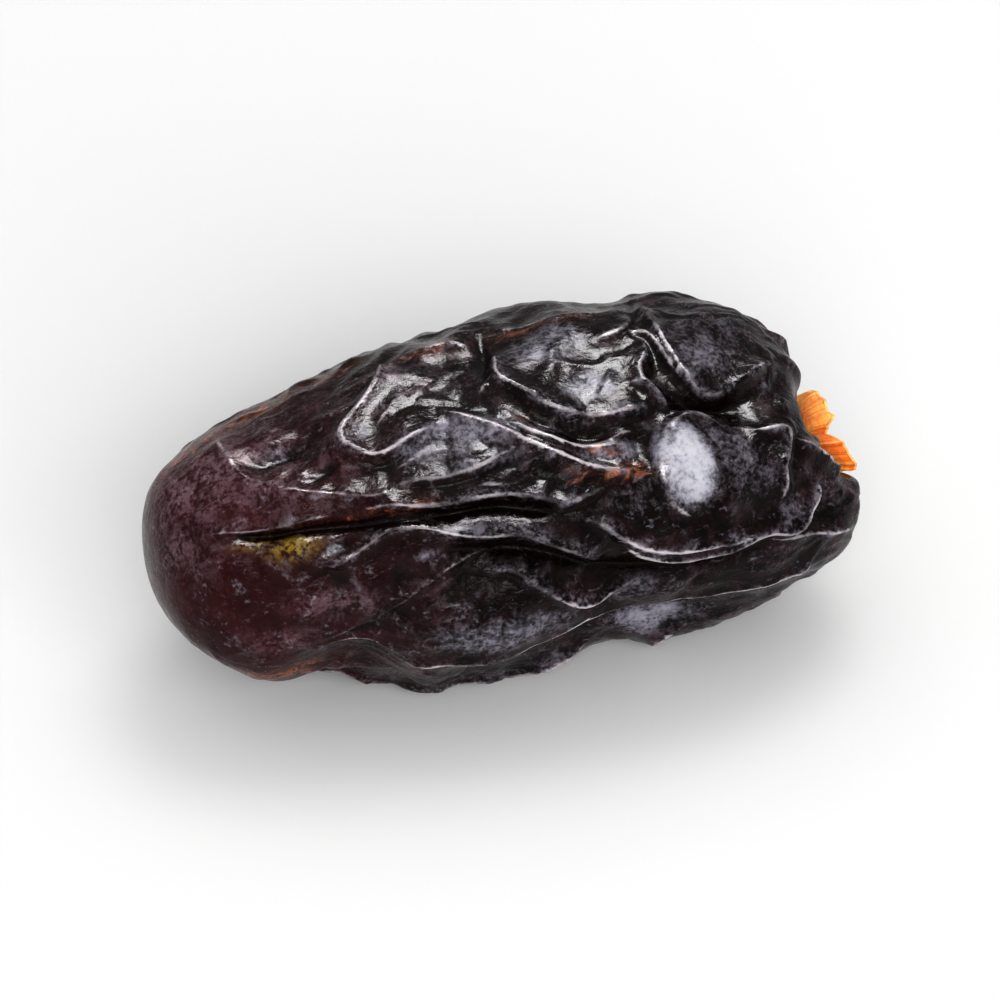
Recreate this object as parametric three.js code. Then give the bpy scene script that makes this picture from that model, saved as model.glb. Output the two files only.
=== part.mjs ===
// A medjool date: the sun-dried fruit of the date palm, lying on its side.
// Lengths are in millimetres. +X runs from the blossom end to the stem end, +Z is up,
// and the origin is the middle of the fruit's outline box, on the surface it lies on.
// A place on the skin is [along, around]: the distance in mm from the blossom end, measured
// over the smooth body, and the angle in degrees from the top, growing towards -Y.

import * as THREE from "three";

// The smooth body: two blunt half eggs that meet at the widest station
const WIDEST_X = 2.0;
const WIDEST_RADIUS = 11.75;
const BLOSSOM_LENGTH = 26.2;
const STEM_LENGTH = 20.6;
const BLOSSOM_POWERS = [1.9, 0.38];
const STEM_POWERS = [2.6, 0.4];
const BODY_HEIGHT_SHARE = 0.96;

// The stem end is cut off at a slant, and hollow in the middle
const STEM_FACE_TILT = 0.29;
const STEM_FACE_LOW_SIDE = 128;
const HOLLOW_DEPTH = 3.6;
const HOLLOW_RADIUS = 4.0;

// The flat spot underneath, and the gap that keeps the calyx clear of the skin
const FLAT_SPOT_DEPTH = 0.7;
const CALYX_GAP = 0.4;

// The meshes: rings across the fruit and sides round it
const SKIN_RINGS = 66;
const SKIN_SIDES = 84;
const CALYX_SIDES = 60;

const radians = THREE.MathUtils.degToRad;
const smoothstep = THREE.MathUtils.smoothstep;

// Random numbers that are the same on every run
function seededRandom(seed) {
  let state = seed;
  return () => {
    state = (state + 0x6d2b79f5) | 0;
    let t = Math.imul(state ^ (state >>> 15), 1 | state);
    t = (t + Math.imul(t ^ (t >>> 7), 61 | t)) ^ t;
    return ((t ^ (t >>> 14)) >>> 0) / 4294967296;
  };
}

function bodyRadius(x) {
  const onBlossomSide = x < WIDEST_X;
  const share = Math.abs(x - WIDEST_X) / (onBlossomSide ? BLOSSOM_LENGTH : STEM_LENGTH);
  const [inner, outer] = onBlossomSide ? BLOSSOM_POWERS : STEM_POWERS;
  return WIDEST_RADIUS * Math.pow(Math.max(0, 1 - Math.pow(share, inner)), outer);
}

// The profile of the smooth body against the distance walked along it
const PROFILE_STEPS = 2000;
const profile = [{ along: 0, x: WIDEST_X - BLOSSOM_LENGTH, radius: 0 }];
for (let i = 1; i <= 2 * PROFILE_STEPS; i++) {
  const share = i / PROFILE_STEPS - 1;
  const reach = share < 0 ? -BLOSSOM_LENGTH : STEM_LENGTH;
  const x = WIDEST_X + reach * (1 - Math.pow(1 - Math.abs(share), 3));
  const radius = bodyRadius(x);
  const last = profile[profile.length - 1];
  const step = Math.hypot(x - last.x, radius - last.radius);
  profile.push({ along: last.along + step, x, radius });
}
const SKIN_LENGTH = profile[profile.length - 1].along;

function profileAt(along) {
  let low = 0;
  let high = profile.length - 1;
  while (high - low > 1) {
    const middle = (low + high) >> 1;
    if (profile[middle].along <= along) low = middle;
    else high = middle;
  }
  const { x, radius, along: start } = profile[low];
  const share = Math.min(1, Math.max(0, (along - start) / (profile[high].along - start)));
  return {
    x: x + share * (profile[high].x - x),
    radius: radius + share * (profile[high].radius - radius),
  };
}

// Broad lumps and hollows: place, height, reach along in mm and reach around in degrees
const LUMPS = [
  { at: [53, 100], height: 1.3, reach: [4.5, 30] },
  { at: [51, 0], height: -0.5, reach: [5, 38] },
  { at: [16, 92], height: -0.7, reach: [5, 30] },
  { at: [9, 75], height: 0.5, reach: [6, 45] },
  { at: [16, 0], height: -0.5, reach: [6, 40] },
  { at: [27, 98], height: 0.9, reach: [6, 16] },
  { at: [37, 94], height: 0.6, reach: [3, 14] },
  { at: [44, 92], height: 0.5, reach: [3.2, 12] },
  { at: [24, 72], height: -1.3, reach: [5, 11] },
  { at: [36, -4], height: 0.7, reach: [6, 12] },
  { at: [46, 0], height: 0.5, reach: [4, 16] },
  { at: [41, 50], height: 0.8, reach: [3.4, 15] },
  { at: [13.7, 9.5], height: -0.9, reach: [2.2, 6] },
  { at: [16.2, 25], height: -0.4, reach: [1.1, 3.5] },
  { at: [16.3, 55.5], height: -0.6, reach: [1.3, 3.5] },
  { at: [16, -55], height: -0.5, reach: [6, 35] },
  { at: [5, -40], height: 0.4, reach: [5, 50] },
  { at: [29, -50], height: 0.6, reach: [5, 25] },
  { at: [38.5, -48], height: 0.2, reach: [3.5, 25] },
  { at: [10, 112], height: 0.9, reach: [5, 25] },
  { at: [16.5, 120], height: -1.4, reach: [3.5, 18] },
  { at: [35, 120], height: -2.8, reach: [7.5, 28] },
  { at: [47, -40], height: 1.5, reach: [5, 40] },
  { at: [50.5, -25], height: 1.5, reach: [4, 45] },
  { at: [53, -12], height: 0.15, reach: [3, 40] },
  { at: [27.5, -42], height: -0.3, reach: [3, 16] },
  { at: [34, -38], height: 0.8, reach: [4, 18] },
  { at: [42.5, -45], height: 0.25, reach: [2.5, 16] },
  { at: [52.5, 72], height: -0.4, reach: [2.5, 16] },
  { at: [53, 42], height: -0.8, reach: [2.5, 22] },
  { at: [49, 118], height: 0.55, reach: [2, 12] },
  { at: [46.3, 132], height: -0.1, reach: [1.8, 12] },
  { at: [41.5, 140], height: 0.8, reach: [3.5, 18] },
  { at: [21.8, 150], height: 0.6, reach: [2, 14] },
  { at: [16.8, 152], height: -1.0, reach: [2.4, 16] },
  { at: [11.8, 135], height: 0.5, reach: [3, 18] },
  { at: [34, 150], height: 0.75, reach: [7, 22] },
  { at: [20, 192], height: 0.5, reach: [6, 20] },
  { at: [40, 232], height: 0.9, reach: [5, 18] },
  { at: [28, 268], height: -0.8, reach: [7, 18] },
  { at: [45, 292], height: 0.7, reach: [4, 20] },
  { at: [17, 300], height: 0.6, reach: [5, 25] },
];

// The folds of the skin on the side that faces the viewer. Each is a crest along a path.
// Its height is in mm, and steep and gentle are how far it takes to fall away on its two sides.
// turn is +1 where the steep side is the one on the right, walking the path with the top up.
const FOLDS = [
  {
    name: "rim round the blossom dimple",
    path: [
      [10.3, -22], [10.5, -6], [10.8, 8], [11.4, 17], [12.7, 24], [14.3, 30], [16.6, 35],
      [19.1, 39], [21.8, 37.5],
    ],
    height: 0.4, steep: 0.8, gentle: 1.6, turn: -1,
  },
  {
    name: "big hook",
    path: [
      [23.4, -17], [22.4, -11], [21.6, -4], [20.3, 3], [18.9, 9], [18.1, 15], [18.6, 20],
      [20.1, 24.5], [22.3, 22], [24.5, 19],
    ],
    height: 1.05, steep: 0.55, gentle: 1.9, turn: 1,
  },
  {
    name: "crease inside the hook",
    path: [
      [23.3, 0.5], [22, 7], [20.9, 12], [19.8, 16],
    ],
    height: 0.4, steep: 0.5, gentle: 0.9, turn: 1,
  },
  {
    name: "top crest, left part",
    path: [
      [23.4, -17], [25.1, -15.5], [27.1, -14.5], [28.8, -9.5],
    ],
    height: 0.85, steep: 0.7, gentle: 2.2, turn: 1,
  },
  {
    name: "top crest, right part",
    path: [
      [29.8, -20.5], [31.7, -16.5], [34.5, -14.5], [37.7, -14], [40.5, -16.5],
    ],
    height: 0.45, steep: 0.8, gentle: 2.0, turn: 1,
  },
  {
    name: "slope up to the top crest",
    path: [
      [35.4, 1], [37.4, -1], [39.1, -4], [40.7, -14.5],
    ],
    height: 0.5, steep: 0.6, gentle: 1.4, turn: 1,
  },
  {
    name: "star, trunk and long arm",
    path: [
      [29.5, -8.5], [29.4, 0.5], [29.1, 8.5], [30.4, 15.5], [31.5, 21.5], [33.3, 25.5],
      [35.4, 27.5], [37.4, 27.5], [39, 26],
    ],
    height: 1.05, steep: 0.6, gentle: 2.4, turn: 1,
  },
  {
    name: "star, short arm",
    path: [
      [29.1, 5.5], [28.3, 8], [27.6, 11.5], [27.1, 14.5],
    ],
    height: 0.7, steep: 0.5, gentle: 1.3, turn: -1,
  },
  {
    name: "squiggle beside the bright facet",
    path: [
      [38.9, 0], [39.7, 3], [39.6, 8], [38.6, 13.5], [38.5, 18.5], [39.1, 22.5], [39.5, 28],
      [39.1, 32.5],
    ],
    height: 0.8, steep: 0.45, gentle: 1.2, turn: -1,
  },
  {
    name: "loop over the squiggle",
    path: [
      [38.9, 0], [39.6, -2], [40.6, -0.5], [41.1, 5.5], [41.3, 12.5], [41.9, 21],
    ],
    height: 0.7, steep: 0.5, gentle: 0.9, turn: 1,
  },
  {
    name: "edge of the top plate",
    path: [
      [41.9, -22], [41.8, -14], [41.6, -6.5], [41.6, 5.5], [41.9, 16.5], [42.6, 24.5], [43.9, 25],
      [45.1, 22.5], [46.9, 18], [49, 10],
    ],
    height: 0.95, steep: 0.5, gentle: 2.4, turn: 1,
  },
  {
    name: "low lip of the dark hollow",
    path: [
      [40, 31], [41, 33], [42.7, 33], [44.6, 34],
    ],
    height: 0.4, steep: 0.4, gentle: 0.7, turn: -1,
  },
  {
    name: "arch over the pale facet",
    path: [
      [37.8, 42.5], [38.4, 38.5], [39.8, 34.5], [41.5, 32], [42.5, 36], [43.6, 40],
    ],
    height: 0.75, steep: 0.5, gentle: 1.3, turn: -1,
  },
  {
    name: "left rim of the pale facet",
    path: [
      [37.8, 42.5], [37.8, 48.5], [37.7, 55], [38.3, 62], [39.6, 68],
    ],
    height: 0.75, steep: 0.4, gentle: 1.6, turn: 1,
  },
  {
    name: "shoulder line",
    path: [
      [44.4, 38.5], [45.5, 42], [47.2, 43], [46.8, 49.5], [45.9, 55.5], [45.5, 62], [44.6, 72],
    ],
    height: 0.85, steep: 0.5, gentle: 1.7, turn: -1,
  },
  {
    name: "long crest below the shoulder line",
    path: [
      [47.3, 44.5], [48.8, 50.5], [50.3, 58], [51.6, 68], [52.9, 78],
    ],
    height: 0.7, steep: 0.9, gentle: 1.5, turn: -1,
  },
  {
    name: "smile, upper lip",
    path: [
      [31.8, 59.5], [33.4, 62], [34.5, 67], [36.1, 73], [38.1, 76.5], [40.8, 77.5], [43.3, 78.5],
    ],
    height: 0.95, steep: 0.45, gentle: 1.9, turn: 1,
  },
  {
    name: "smile, lower lip",
    path: [
      [34.5, 69], [35.8, 76], [37.8, 80.5], [40.4, 82], [42.1, 80], [43.8, 79.5], [45.4, 82.5],
      [46.8, 78], [48.1, 71], [48.4, 65],
    ],
    height: 1, steep: 0.5, gentle: 1.1, turn: 1,
  },
  {
    name: "slanting crest in the middle",
    path: [
      [24.4, 12.5], [25.8, 18.5], [27.7, 25.5], [29.6, 32.5], [31.4, 38.5], [33.2, 43.5],
      [35.1, 47], [36.5, 46.5],
    ],
    height: 0.8, steep: 0.5, gentle: 1.5, turn: -1,
  },
  {
    name: "second slanting crest",
    path: [
      [27.8, 22], [29.4, 27.5], [31.4, 33.5], [33.4, 37], [35, 36.5], [36.4, 34.5], [37.7, 36.5],
    ],
    height: 0.65, steep: 0.5, gentle: 1.0, turn: -1,
  },
  {
    name: "fork of the middle plate",
    path: [
      [19.8, 38], [21.5, 36.5], [23.8, 37.5], [25.8, 37], [27.5, 34.5], [29, 33],
    ],
    height: 0.7, steep: 0.5, gentle: 1.6, turn: 1,
  },
  {
    name: "faint crease in the middle plate",
    path: [
      [20.1, 32], [21.8, 29.5], [23.8, 28], [25.1, 28.5],
    ],
    height: 0.35, steep: 0.5, gentle: 0.9, turn: 1,
  },
  {
    name: "upper long crest",
    path: [
      [17.7, 43], [19.8, 43], [21.8, 45], [24.3, 46.5], [26.5, 46], [28.3, 47.5], [30.1, 50.5],
      [31.4, 53], [32.8, 51.5], [34.8, 50],
    ],
    height: 0.85, steep: 0.5, gentle: 1.3, turn: 1,
  },
  {
    name: "twin of the upper long crest",
    path: [
      [24.5, 43.5], [26, 42.5], [27.4, 43.5], [28.9, 46.5],
    ],
    height: 0.4, steep: 0.4, gentle: 0.7, turn: 1,
  },
  {
    name: "lower long crest",
    path: [
      [14.1, 59.5], [15.8, 60.5], [17.4, 57], [19.5, 51.5], [21.8, 52.5], [24.1, 57],
      [26.1, 59.5], [28.1, 60.5], [29.9, 65.5], [31.9, 71], [33.4, 77],
    ],
    height: 1.05, steep: 0.6, gentle: 1.7, turn: 1,
  },
  {
    name: "pinch at the blossom end",
    path: [
      [6.5, 37], [8.4, 38.5], [10.2, 41], [12.6, 42.5], [15.3, 42], [17.7, 43],
    ],
    height: 0.4, steep: 0.5, gentle: 1.8, turn: 1,
  },
  {
    name: "low pinch at the blossom end",
    path: [
      [10.4, 50], [11.7, 57.5], [13.1, 66], [14.3, 62.5],
    ],
    height: 0.35, steep: 0.5, gentle: 1.1, turn: 1,
  },
  {
    name: "edge of the dark sweep",
    path: [
      [13.8, 100], [15.5, 95], [17.4, 89.5], [19.5, 82], [21.5, 74.5], [24.1, 67.5], [27.1, 64.5],
    ],
    height: 0.7, steep: 0.8, gentle: 2.4, turn: 1,
  },
  {
    name: "zigzag crest",
    path: [
      [24.8, 73.5], [26.8, 72.5], [28.1, 75.5], [29.3, 81], [30.8, 87.5], [32.6, 91],
      [34.4, 88], [36.1, 86],
    ],
    height: 0.9, steep: 0.6, gentle: 1.3, turn: 1,
  },
  {
    name: "small crest over the low bulge",
    path: [
      [21.9, 85], [23.3, 83.5], [24.9, 84],
    ],
    height: 0.35, steep: 0.5, gentle: 0.8, turn: 1,
  },
  {
    name: "crest under the dark wedge",
    path: [
      [43.6, 83.5], [45.6, 87], [47.5, 92], [49.1, 98], [50.7, 105],
    ],
    height: 0.6, steep: 0.6, gentle: 1.4, turn: -1,
  },
  {
    name: "edge of the smooth end",
    path: [
      [16.3, 60], [15.4, 65], [14.5, 72], [13.7, 80.5], [12.6, 90.5],
    ],
    height: 0.3, steep: 0.5, gentle: 1.3, turn: 1,
  },
  {
    name: "small crest past the dimple",
    path: [
      [14.3, 17], [14.9, 24], [15.7, 28.5],
    ],
    height: 0.3, steep: 0.4, gentle: 0.7, turn: 1,
  },
  {
    name: "second small crest past the dimple",
    path: [
      [14.4, 26.5], [15.4, 25.5], [16.3, 19.5],
    ],
    height: 0.3, steep: 0.4, gentle: 0.7, turn: -1,
  },
  {
    name: "faint crease on the smooth end",
    path: [
      [9, 15.5], [8, 26], [7.6, 35.5],
    ],
    height: 0.25, steep: 0.5, gentle: 1.0, turn: 1,
  },
  {
    name: "bottom pleat",
    path: [
      [12.6, 106], [15.3, 103], [17.5, 101.5], [19.3, 107], [20.8, 114],
    ],
    height: 0.3, steep: 0.7, gentle: 1.5, turn: 1,
  },
  {
    name: "bottom edge",
    path: [
      [19.6, 113], [24.1, 111], [29.1, 110.5], [32.6, 106.5], [36.1, 107], [40.1, 109.5], [44, 106],
      [47.5, 109],
    ],
    height: 0.7, steep: 1.0, gentle: 1.6, turn: 1,
  },
];

// The sharp valleys between them, which only go down
const VALLEYS = [
  {
    path: [
      [8.8, 40.5], [11.5, 45], [14.3, 46], [17.2, 48], [19.6, 48.5], [23.1, 50], [26.6, 50.5],
      [29.1, 54], [31.1, 57.5],
    ],
    depth: 1.0, reach: 0.8,
  },
  {
    path: [
      [29.1, -20.5], [29, -6.5], [28.5, 1], [27.5, 8],
    ],
    depth: 0.8, reach: 0.7,
  },
  {
    path: [
      [31.5, 29.5], [33.7, 34.5], [36.4, 36.5], [38.7, 36.5],
    ],
    depth: 0.8, reach: 1.0,
  },
  {
    path: [
      [40, 27.5], [41.7, 29], [43.7, 29.5], [45.9, 27],
    ],
    depth: 1.3, reach: 1.2,
  },
  {
    path: [
      [22.5, 62], [25.1, 65], [28.1, 67.5], [30.1, 71], [32.5, 78], [34.9, 82], [37.9, 85],
      [40.1, 86.5], [42.7, 83.5],
    ],
    depth: 1.2, reach: 1.1,
  },
  {
    path: [
      [32.4, 92.5], [32.6, 97], [32.4, 104],
    ],
    depth: 0.9, reach: 0.8,
  },
  {
    path: [
      [40.1, 86.5], [39.8, 92], [39, 98], [38.4, 104],
    ],
    depth: 0.7, reach: 0.6,
  },
  {
    path: [
      [45.8, 85.5], [47.2, 84], [48.6, 78], [49.3, 70],
    ],
    depth: 1.1, reach: 1.0,
  },
  {
    path: [
      [36.5, 52.5], [36.4, 56.5], [36.8, 62],
    ],
    depth: 0.7, reach: 0.6,
  },
  {
    path: [
      [29.4, 41.5], [30.8, 48], [32.1, 52],
    ],
    depth: 0.4, reach: 0.7,
  },
  {
    path: [
      [20.5, 79], [19.1, 85], [17.8, 91], [15.8, 98],
    ],
    depth: 0.8, reach: 1.3,
  },
];

// The back and the underside fold in the same way. Their folds are the ones in front, moved
// round the fruit, once turned over and once not, and shifted along it unevenly.
const BACK_COPIES = [
  { from: 105, turnover: -1, squeeze: 0.93, start: 108, slide: 1.5, share: 0.85, seed: 11 },
  { from: -20, turnover: 1, squeeze: 0.93, start: 224, slide: -2, share: 1, seed: 29 },
];
const BACK_SPAN = [137, 316];
const DRIFT_ALONG = 1.4;
const DRIFT_AROUND = 5;

function movedPath(path, copy, phase) {
  return path.map(([along, around]) => {
    const turned = copy.start + copy.turnover * copy.squeeze * (around - copy.from);
    return [
      along + copy.slide + DRIFT_ALONG * Math.sin(radians(3 * turned) + phase),
      turned + DRIFT_AROUND * Math.sin(0.35 * along + phase),
    ];
  });
}

function copiesBehind(lines) {
  return BACK_COPIES.flatMap((copy) => {
    const random = seededRandom(copy.seed);
    const phase = 2 * Math.PI * random();
    const moved = lines.map((line) => ({
      ...line,
      path: movedPath(line.path, copy, phase),
      turn: (line.turn ?? 1) * copy.turnover,
      share: copy.share * (0.75 + 0.5 * random()),
    }));
    return moved.filter(({ path }) =>
      path.every(([, around]) => around > BACK_SPAN[0] && around < BACK_SPAN[1]),
    );
  });
}

// The pleats that gather at the shoulder round the calyx
const PLEAT_COUNT = 15;
const PLEAT_SPAN = [49.5, 57.5];
function shoulderPleats() {
  const random = seededRandom(5);
  return Array.from({ length: PLEAT_COUNT }, (_, i) => {
    const around = (360 / PLEAT_COUNT) * (i + 0.6 * random()) - 30;
    const bent = around + 10 * (random() - 0.5);
    const start = PLEAT_SPAN[0] + 2.5 * random();
    return {
      path: [[start, around], [(start + PLEAT_SPAN[1]) / 2, bent], [PLEAT_SPAN[1], around]],
      height: 0.35 + 0.35 * random(),
      steep: 0.9,
      gentle: 1.2,
      turn: random() < 0.5 ? 1 : -1,
    };
  });
}

// A line on the skin, cut into short straight pieces that follow a smooth curve through its
// points. The pieces lie on the skin rolled out flat, in mm.
const PIECE_LENGTH = 0.7;
const REACHES_COUNTED = 5;
function lineOnSkin(line) {
  const flat = line.path.map(
    ([along, around]) => new THREE.Vector3(along, radians(around) * WIDEST_RADIUS, 0),
  );
  const curve = new THREE.CatmullRomCurve3(flat, false, "centripetal");
  const count = Math.max(2, Math.ceil(curve.getLength() / PIECE_LENGTH));
  const points = curve.getSpacedPoints(count);
  const reach = REACHES_COUNTED * Math.max(line.gentle ?? 0, line.reach ?? 0);
  const box = new THREE.Box3().setFromPoints(points).expandByScalar(reach);
  return { ...line, points, box, pieceLength: curve.getLength() / count };
}

const CRESTS = [...FOLDS, ...copiesBehind(FOLDS), ...shoulderPleats()].map(lineOnSkin);
const FURROWS = [...VALLEYS, ...copiesBehind(VALLEYS)].map(lineOnSkin);

// The nearest place on a line: how far off it is, on which side, and how far from an end
function nearestOnLine({ points, pieceLength }, along, arc) {
  let distance = Infinity;
  let side = 1;
  let walked = 0;
  for (let i = 0; i + 1 < points.length; i++) {
    const dx = points[i + 1].x - points[i].x;
    const dy = points[i + 1].y - points[i].y;
    const px = along - points[i].x;
    const py = arc - points[i].y;
    const share = Math.min(1, Math.max(0, (px * dx + py * dy) / (dx * dx + dy * dy)));
    const off = Math.hypot(px - share * dx, py - share * dy);
    if (off < distance) {
      distance = off;
      side = dx * py - dy * px < 0 ? -1 : 1;
      walked = (i + share) * pieceLength;
    }
  }
  const toEnd = Math.min(walked, (points.length - 1) * pieceLength - walked);
  return { distance, side, toEnd };
}

// Crests and furrows are rounded over, and run out at their two ends
const CREST_ROUNDING = 0.3;
const STEEPEST = 0.6;
const END_TAPER = 2.2;
const END_SHARE = 0.25;

function heightFrom(line, along, arc, widthOn) {
  const { min, max } = line.box;
  if (along < min.x || along > max.x || arc < min.y || arc > max.y) return 0;
  const { distance, side, toEnd } = nearestOnLine(line, along, arc);
  const taper = END_SHARE + (1 - END_SHARE) * smoothstep(toEnd, 0, END_TAPER);
  const rounded = Math.hypot(distance, CREST_ROUNDING) - CREST_ROUNDING;
  const size = (line.height ?? line.depth) * (line.share ?? 1) * taper;
  return size * Math.exp(-rounded / widthOn(line, side));
}

const crestWidth = ({ steep, gentle, turn }, side) =>
  side * turn > 0 ? Math.max(steep, STEEPEST) : Math.max(gentle, STEEPEST);
const furrowWidth = ({ reach }) => Math.max(reach, STEEPEST);

// Where lines cross, the higher one counts, and a high power mean keeps the join smooth
const BLEND_POWER = 4;
function highest(lines, along, around, widthOn) {
  let sum = 0;
  const turned = THREE.MathUtils.euclideanModulo(around, 360);
  for (const angle of [turned - 360, turned]) {
    const arc = radians(angle) * WIDEST_RADIUS;
    for (const line of lines) sum += heightFrom(line, along, arc, widthOn) ** BLEND_POWER;
  }
  return sum ** (1 / BLEND_POWER);
}

function lumpHeight(along, around) {
  return LUMPS.reduce((sum, { at, height, reach }) => {
    const apart = THREE.MathUtils.euclideanModulo(around - at[1] + 180, 360) - 180;
    const off = ((along - at[0]) / reach[0]) ** 2 + (apart / reach[1]) ** 2;
    return sum + height * Math.exp(-off);
  }, 0);
}

// Relief fades out towards the two poles, where a whole ring of the skin meets in a point
const BLOSSOM_CALM = [1.5, 6];
const STEM_CALM = [2.5, 6];
function reliefHeight(along, around) {
  const fade =
    smoothstep(along, BLOSSOM_CALM[0], BLOSSOM_CALM[1]) *
    smoothstep(SKIN_LENGTH - along, STEM_CALM[0], STEM_CALM[1]);
  if (fade === 0) return 0;
  const crest = highest(CRESTS, along, around, crestWidth);
  const furrow = highest(FURROWS, along, around, furrowWidth);
  return fade * (lumpHeight(along, around) + crest - furrow);
}

// A point of the smooth body, with the slant and the hollow of its stem end
function bodyPoint(along, around) {
  const { x, radius } = profileAt(along);
  const angle = radians(around);
  const slant = STEM_FACE_TILT * radius * Math.cos(angle - radians(STEM_FACE_LOW_SIDE));
  const hollow = HOLLOW_DEPTH * Math.exp(-((radius / HOLLOW_RADIUS) ** 2));
  const stemShare = smoothstep(along, SKIN_LENGTH * 0.55, SKIN_LENGTH * 0.85);
  return new THREE.Vector3(
    x + stemShare * (slant - hollow),
    -radius * Math.sin(angle),
    radius * Math.cos(angle) * BODY_HEIGHT_SHARE,
  );
}

// A point of the folded skin, pushed out of the smooth body along its normal
const NORMAL_STEP = 0.05;
const NORMAL_TURN = 1;
function skinPoint(along, around) {
  const point = bodyPoint(along, around);
  const height = reliefHeight(along, around);
  if (height === 0) return point;
  const alongWay = bodyPoint(along + NORMAL_STEP, around).sub(
    bodyPoint(along - NORMAL_STEP, around),
  );
  const aroundWay = bodyPoint(along, around + NORMAL_TURN).sub(
    bodyPoint(along, around - NORMAL_TURN),
  );
  const normal = aroundWay.cross(alongWay).normalize();
  return point.addScaledVector(normal, height);
}

// A mesh point that lies close to a crest moves onto it, so that the crest stays unbroken
const SNAP_DISTANCE = 0.43;
function snappedToCrest(along, around) {
  const arc = radians(around) * WIDEST_RADIUS;
  const place = new THREE.Vector3(along, arc, 0);
  let nearest = SNAP_DISTANCE;
  for (const turn of [0, -2 * Math.PI * WIDEST_RADIUS])
    for (const { points, box } of CRESTS) {
      if (!box.containsPoint(new THREE.Vector3(along, arc + turn, 0))) continue;
      for (let i = 0; i + 1 < points.length; i++) {
        const spot = new THREE.Line3(points[i], points[i + 1]).closestPointToPoint(
          new THREE.Vector3(along, arc + turn, 0),
          true,
          new THREE.Vector3(),
        );
        const off = Math.hypot(spot.x - along, spot.y - arc - turn);
        if (off >= nearest) continue;
        nearest = off;
        place.set(spot.x, spot.y - turn, 0);
      }
    }
  return [place.x, THREE.MathUtils.radToDeg(place.y / WIDEST_RADIUS)];
}

// A closed skin: rings of points between two poles, every second ring turned by half a side
function closedSkin(rings, firstPole, lastPole) {
  const sides = rings[0].length;
  const points = [firstPole, ...rings.flat(), lastPole];
  const last = points.length - 1;
  const at = (ring, side) => 1 + ring * sides + (side % sides);
  const faces = [];
  for (let side = 0; side < sides; side++) {
    faces.push(0, at(0, side + 1), at(0, side));
    faces.push(last, at(rings.length - 1, side), at(rings.length - 1, side + 1));
    for (let ring = 0; ring + 1 < rings.length; ring++) {
      const [a, b] = [at(ring, side), at(ring, side + 1)];
      const [c, d] = [at(ring + 1, side), at(ring + 1, side + 1)];
      if (ring % 2) faces.push(a, b, d, a, d, c);
      else faces.push(a, b, c, b, d, c);
    }
  }
  const geometry = new THREE.BufferGeometry().setFromPoints(points);
  geometry.setIndex(faces);
  return geometry;
}

const sidesAround = (count, ring) =>
  Array.from({ length: count }, (_, side) => (360 * (side + (ring % 2) / 2)) / count);

function makeFruit() {
  const rings = Array.from({ length: SKIN_RINGS }, (_, ring) => {
    const along = (SKIN_LENGTH * (ring + 1)) / (SKIN_RINGS + 1);
    return sidesAround(SKIN_SIDES, ring).map((around) =>
      skinPoint(...snappedToCrest(along, around)),
    );
  });
  const floor = Math.min(...rings.flat().map(({ z }) => z)) + FLAT_SPOT_DEPTH;
  for (const point of rings.flat()) point.z = Math.max(point.z, floor);
  return closedSkin(rings, bodyPoint(0, 0), bodyPoint(SKIN_LENGTH, 0));
}

// The calyx: the dry woody cap in the hollow. Notches part its ragged rim into six uneven
// lobes, and the scar of the stalk is in the middle. Its profile is [share of the rim's radius,
// height above the hollow], first the underside from the middle out, then back over the rim.
const CALYX_RADIUS = 3.9;
const CALYX_UNDERSIDE = [
  [0.16, 0], [0.32, 0], [0.48, 0], [0.62, 0.05], [0.75, 0.15], [0.87, 0.3], [0.96, 0.5],
];
const CALYX_TOP = [
  [1, 0.8], [0.99, 1.05], [0.93, 1.15], [0.83, 1.0], [0.7, 0.85], [0.56, 0.75], [0.44, 0.75],
  [0.34, 0.85], [0.3, 1.15], [0.25, 1.4], [0.19, 1.35], [0.14, 1.15], [0.07, 1.05],
];
const CALYX_SCAR_HEIGHT = 1.0;
const LOBE_DEPTH = 0.05;
const RIM_RAGGEDNESS = 0.04;
const RIM_LIFT = 0.9;
const RIM_NOTCHES = [
  { at: 46, depth: 0.15, reach: 13 },
  { at: 108, depth: 0.26, reach: 9 },
  { at: 163, depth: 0.17, reach: 12 },
  { at: 226, depth: 0.24, reach: 10 },
  { at: 282, depth: 0.19, reach: 13 },
  { at: 334, depth: 0.27, reach: 16 },
];

function notchDepth(around) {
  return RIM_NOTCHES.reduce((sum, { at, depth, reach }) => {
    const apart = ((around - at + 540) % 360) - 180;
    return sum + depth * Math.exp(-((apart / reach) ** 2));
  }, 0);
}

function makeCalyx() {
  const random = seededRandom(17);
  const ragged = Array.from({ length: CALYX_SIDES }, () => random() - 0.5);
  const hollowFloor = profile.filter(({ along }) => along > SKIN_LENGTH * 0.85);
  const ringAt = ([share, height], ring) =>
    sidesAround(CALYX_SIDES, ring).map((around, side) => {
      const notch = notchDepth(around);
      const lobes = LOBE_DEPTH * Math.cos(3 * radians(around)) - notch;
      const edge = share ** 3;
      const spread = 1 + edge * (lobes + RIM_RAGGEDNESS * ragged[side]);
      const radius = CALYX_RADIUS * share * spread;
      const under = hollowFloor.find((row) => row.radius <= radius) ?? profile.at(-1);
      const floor = bodyPoint(under.along, around);
      const lift = edge * RIM_LIFT * Math.max(0, 1 - 3 * notch + ragged[side] / 4);
      floor.x += CALYX_GAP + height + lift;
      return floor;
    });
  const middle = bodyPoint(SKIN_LENGTH, 0);
  const inner = new THREE.Vector3(middle.x + CALYX_GAP, 0, 0);
  const outer = new THREE.Vector3(middle.x + CALYX_GAP + CALYX_SCAR_HEIGHT, 0, 0);
  return closedSkin([...CALYX_UNDERSIDE, ...CALYX_TOP].map(ringAt), inner, outer);
}

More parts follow.
